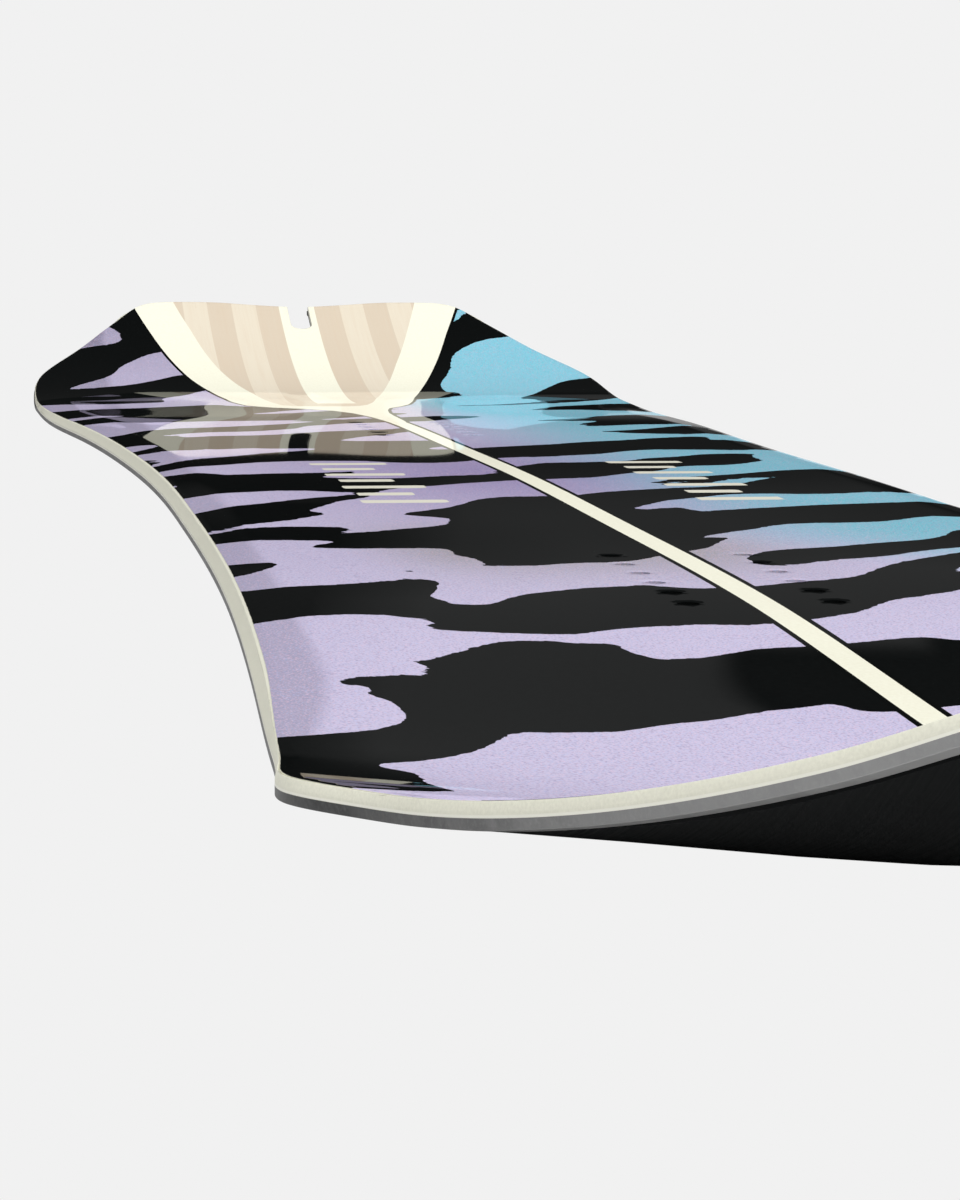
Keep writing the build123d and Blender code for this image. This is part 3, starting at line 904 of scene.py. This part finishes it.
def wall_material():
    """Milled cream sidewall: fine grain, a painted highlight line along the steel, soft worn corner, painted
    shade along the sides.
    """
    material, tree, shader = new_material("rim_plastic")
    flat = place(tree)
    level = attribute(tree, "level")
    grain = noise(tree, flat, 1500.0, 3.0, 0.6)
    blotch = noise(tree, flat, 60.0, 3.0)
    tint = blended(tree, ranged(tree, grain, 0.3, 0.7), linear(234, 233, 216), linear(246, 245, 228))
    tint = blended(tree, ranged(tree, blotch, 0.35, 0.7, 0.0, 0.25), tint, linear(248, 247, 231))
    # Painted highlight: a paler line along the steel.
    painted_highlight_line = ranged(tree, maths(tree, "MULTIPLY_ADD", grain, 0.1, level), 2.62, 2.52)
    tint = blended(tree, painted_highlight_line, tint, linear(252, 251, 238))
    worn = maths(tree, "MULTIPLY", ranged(tree, level, 2.85, 2.98), ranged(tree, level, 3.2, 3.05))
    tint = blended(tree, maths(tree, "MULTIPLY", worn, ranged(tree, blotch, 0.4, 0.6, 0.0, 0.35)), tint,
                   linear(236, 235, 220))
    # Painted shade: greyer along the sides than round the tail.
    along = put(tree, "SeparateXYZ", None, {0: flat}).outputs[1]
    tint = blended(tree, ranged(tree, along, -0.62, -0.5, 0.0, 0.18), tint, (0.0, 0.0, 0.0))
    tree.links.new(tint, shader.inputs["Base Color"])
    tree.links.new(ranged(tree, grain, 0.3, 0.7, 0.42, 0.6), shader.inputs["Roughness"])
    shader.inputs["Specular IOR Level"].default_value = 0.2
    bumped(tree, shader, grain, 0.1, 0.0001)
    return material


def edge_material():
    """Ground steel edge: close diagonal grinding lines, brighter worn corners."""
    material, tree, shader = new_material("edge_steel")
    flat = place(tree)
    level = attribute(tree, "level")
    slant = place(tree, (260.0, 260.0, 60.0), (math.radians(38.0), math.radians(38.0), 0.0))
    lines = noise(tree, slant, 1.0, 4.0, 0.65)
    fine = noise(tree, flat, 1300.0, 2.0)
    broad = noise(tree, flat, 14.0, 2.0)
    tint = blended(tree, ranged(tree, lines, 0.35, 0.65), linear(92, 92, 93), linear(128, 128, 128))
    tint = blended(tree, ranged(tree, broad, 0.35, 0.65, 0.0, 0.4), tint, linear(142, 142, 141))
    tint = blended(tree, ranged(tree, fine, 0.5, 0.8, 0.0, 0.4), tint, linear(150, 150, 149))
    corner = ranged(tree, maths(tree, "MULTIPLY_ADD", fine, 0.08, level), 0.14, 0.09)
    tint = blended(tree, corner, tint, linear(150, 150, 149))
    # Painted shade along the sides and a painted highlight round the tail.
    along = put(tree, "SeparateXYZ", None, {0: flat}).outputs[1]
    tint = blended(tree, ranged(tree, along, -0.68, -0.62, 0.0, 0.45), tint, (0.0, 0.0, 0.0))
    tint = blended(tree, ranged(tree, along, -0.65, -0.74, 0.0, 0.38), tint, linear(214, 214, 214))
    tree.links.new(tint, shader.inputs["Base Color"])
    shader.inputs["Metallic"].default_value = 0.75
    tree.links.new(ranged(tree, lines, 0.3, 0.7, 0.38, 0.55), shader.inputs["Roughness"])
    bumped(tree, shader, lines, 0.12, 0.0002)
    return material


def dress(nodes):
    """Gives every CAD node that stays in view its material."""
    tip = plastic_material("sidewall_plastic", linear(224, 222, 206), linear(214, 211, 194),
                           1400.0, 0.42, 0.08)
    plated = steel_material("plated_insert", linear(176, 176, 172), 0.28, 60.0)
    plain = {
        "running_base": base_material(),
        "edge_damping_foil": rubber_material(),
        "upper_glass": glass_material(),
        "nose_tip_piece": tip,
        "tail_inserts": plated,
        "nose_inserts": plated,
    }
    plain["lower_glass"] = plain["upper_glass"]
    pale = wood_material("poplar_pale", linear(232, 214, 180), linear(206, 178, 136), 3.0)
    tan = wood_material("poplar_tan", linear(214, 188, 148), linear(184, 150, 108), 41.0)
    for name, node in nodes.items():
        if name in plain:
            chosen = plain[name]
        elif name.startswith("core_strip"):
            chosen = tan if name[-1] in "13579" else pale
        else:
            continue
        node.data.materials.clear()
        node.data.materials.append(chosen)


# ---------------------------------------------------------------- stage, light and camera
def build_stage():
    """Plain pale floor, shown as an even tone from above and not at all from below."""
    size = 40.0
    mesh = bpy.data.meshes.new("floor")
    corners = [(-size, -size, 0.0), (size, -size, 0.0), (size, size, 0.0), (-size, size, 0.0)]
    mesh.from_pydata([(x, y, CAD_LOW.z - 0.0006) for x, y, _ in corners], [], [(0, 1, 2, 3)])
    floor = bpy.data.objects.new("floor", mesh)
    bpy.context.scene.collection.objects.link(floor)
    material = bpy.data.materials.new("pale_floor")
    material.use_nodes = True
    tree = material.node_tree
    tree.nodes.clear()
    seen = put(tree, "LightPath").outputs["Is Camera Ray"]
    plain = put(tree, "Emission", None, {"Color": (*BACKDROP, 1.0), "Strength": 1.0})
    matt = put(tree, "BsdfDiffuse", None, {"Color": (0.62, 0.62, 0.62, 1.0)})
    upper = put(tree, "MixShader", None, {0: seen, 1: matt.outputs[0], 2: plain.outputs[0]})
    below = put(tree, "NewGeometry").outputs["Backfacing"]
    clear = put(tree, "BsdfTransparent")
    both = put(tree, "MixShader", None, {0: below, 1: upper.outputs[0], 2: clear.outputs[0]})
    output = put(tree, "OutputMaterial")
    tree.links.new(both.outputs[0], output.inputs[0])
    mesh.materials.append(material)


BACKDROP = linear(241, 241, 241)

# Grey level by height of the direction: for matt surfaces, and for reflections to each side.
DIFFUSE_SKY = [(0.0, 0.30), (0.02, 0.05), (0.14, 0.10), (0.34, 0.30), (0.6, 0.8), (1.0, 1.0)]
BEHIND = (0.5, 0.5, 0.5)
LEFT_MIRRORED = [(0.0, 0.10), (0.03, 0.010), (0.098, 0.006), (0.115, 0.03), (0.20, 0.03),
                 (0.30, 0.03), (1.0, 0.03)]
RIGHT_MIRRORED = [(0.0, 0.10), (0.03, 0.010), (0.085, 0.04), (0.14, 0.105), (0.222, 0.105), (0.232, 0.012),
                  (0.30, 0.03), (1.0, 0.03)]


def level_ramp(tree, height, stops, blend):
    """Grey level that follows the height of the direction, level to overhead."""
    ramp = put(tree, "ValToRGB", None, {"Fac": height})
    ramp.color_ramp.interpolation = blend
    elements = ramp.color_ramp.elements
    elements[0].position, elements[1].position = stops[0][0], stops[-1][0]
    elements[0].color = (*(stops[0][1],) * 3, 1.0)
    elements[1].color = (*(stops[-1][1],) * 3, 1.0)
    for position, level in stops[1:-1]:
        elements.new(position).color = (level, level, level, 1.0)
    return ramp.outputs[0]


def build_world():
    """Pale to the camera; soft ceiling light; a dim horizon in the board's own reflections."""
    world = bpy.data.worlds.new("studio")
    bpy.context.scene.world = world
    world.use_nodes = True
    tree = world.node_tree
    tree.nodes.clear()
    direction = put(tree, "TexCoord").outputs["Generated"]
    parts = put(tree, "SeparateXYZ", None, {0: direction}).outputs
    path = put(tree, "LightPath")
    # The reflected softbox starts just right of the board's line of sight, beyond the nose.
    behind = maths(tree, "MULTIPLY", ranged(tree, parts[1], 0.1, -0.8), ranged(tree, parts[2], 0.35, 0.2))
    slope = maths(tree, "DIVIDE", parts[0], maths(tree, "MAXIMUM", parts[1], 0.01))
    bearing = ranged(tree, slope, 0.125, 0.165)
    left = level_ramp(tree, parts[2], LEFT_MIRRORED, "LINEAR")
    right = level_ramp(tree, parts[2], RIGHT_MIRRORED, "LINEAR")
    reflected = blended(tree, behind, blended(tree, bearing, left, right), BEHIND)
    seen = put(tree, "Background", None, {"Color": (*BACKDROP, 1.0), "Strength": 1.0})
    lit = put(tree, "Background", None, {"Color": level_ramp(tree, parts[2], DIFFUSE_SKY, "LINEAR")})
    mirrored = put(tree, "Background", None, {"Color": reflected})
    glossy = path.outputs["Is Glossy Ray"]
    unseen = put(tree, "MixShader", None, {0: glossy, 1: lit.outputs[0], 2: mirrored.outputs[0]})
    both = put(tree, "MixShader", None,
               {0: path.outputs["Is Camera Ray"], 1: unseen.outputs[0], 2: seen.outputs[0]})
    output = put(tree, "OutputWorld")
    tree.links.new(both.outputs[0], output.inputs[0])


def softbox(name, place_at, aim_at, width, height, watts):
    light = bpy.data.lights.new(name, "AREA")
    light.shape = "RECTANGLE"
    light.size, light.size_y, light.energy = width, height, watts
    lamp = bpy.data.objects.new(name, light)
    bpy.context.scene.collection.objects.link(lamp)
    lamp.location = place_at
    aim = Vector(aim_at) - Vector(place_at)
    lamp.rotation_mode = "QUATERNION"
    lamp.rotation_quaternion = aim.to_track_quat("-Z", "Y")
    lamp.visible_glossy = False


def build_lights():
    softbox("ceiling", (0.0, 0.0, 3.2), (0.0, 0.0, 0.0), 3.0, 4.0, 53.0)
    softbox("key", (1.0, -2.9, 1.7), (0.0, -0.3, 0.0), 2.0, 1.6, 50.0)


CAMERA_AT = (-0.213866, -1.17382, 0.12202)
CAMERA_YAW = 0.16682
CAMERA_PITCH = 0.12708
CAMERA_ROLL = 0.00895
CAMERA_LENS = 96.445
SENSOR = 36.0


def build_camera():
    """Low three-quarter view over the tail, as upright as a hand-held shot."""
    sin, cos = math.sin, math.cos
    run = cos(CAMERA_PITCH)
    ahead = Vector((sin(CAMERA_YAW) * run, cos(CAMERA_YAW) * run, -sin(CAMERA_PITCH)))
    level = Vector((cos(CAMERA_YAW), -sin(CAMERA_YAW), 0.0))
    upright = level.cross(ahead)
    right = cos(CAMERA_ROLL) * level + sin(CAMERA_ROLL) * upright
    up = -sin(CAMERA_ROLL) * level + cos(CAMERA_ROLL) * upright
    lens = bpy.data.cameras.new("camera")
    lens.sensor_width = SENSOR
    lens.lens = CAMERA_LENS
    lens.clip_start = 0.01
    camera = bpy.data.objects.new("camera", lens)
    bpy.context.scene.collection.objects.link(camera)
    turn = Matrix((right, up, -ahead)).transposed()
    camera.matrix_world = Matrix.Translation(CAMERA_AT) @ turn.to_4x4()
    bpy.context.scene.camera = camera


build_camera()
build_world()
build_lights()
build_stage()
dress(frame["nodes"])
wall_rim, steel_rim = wall_material(), edge_material()
for rim_piece, node_name, slot_name in build_rims():
    rim_piece.data.materials.append(steel_rim if slot_name == "steel" else wall_rim)
    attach(rim_piece, "root")
    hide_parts(node_name)
topsheet = build_topsheet("printed_deck")
add_print_fields(topsheet)
topsheet.data.materials.append(topsheet_material())
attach(topsheet, "root")
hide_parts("topsheet")
bpy.context.scene.view_settings.view_transform = "Standard"
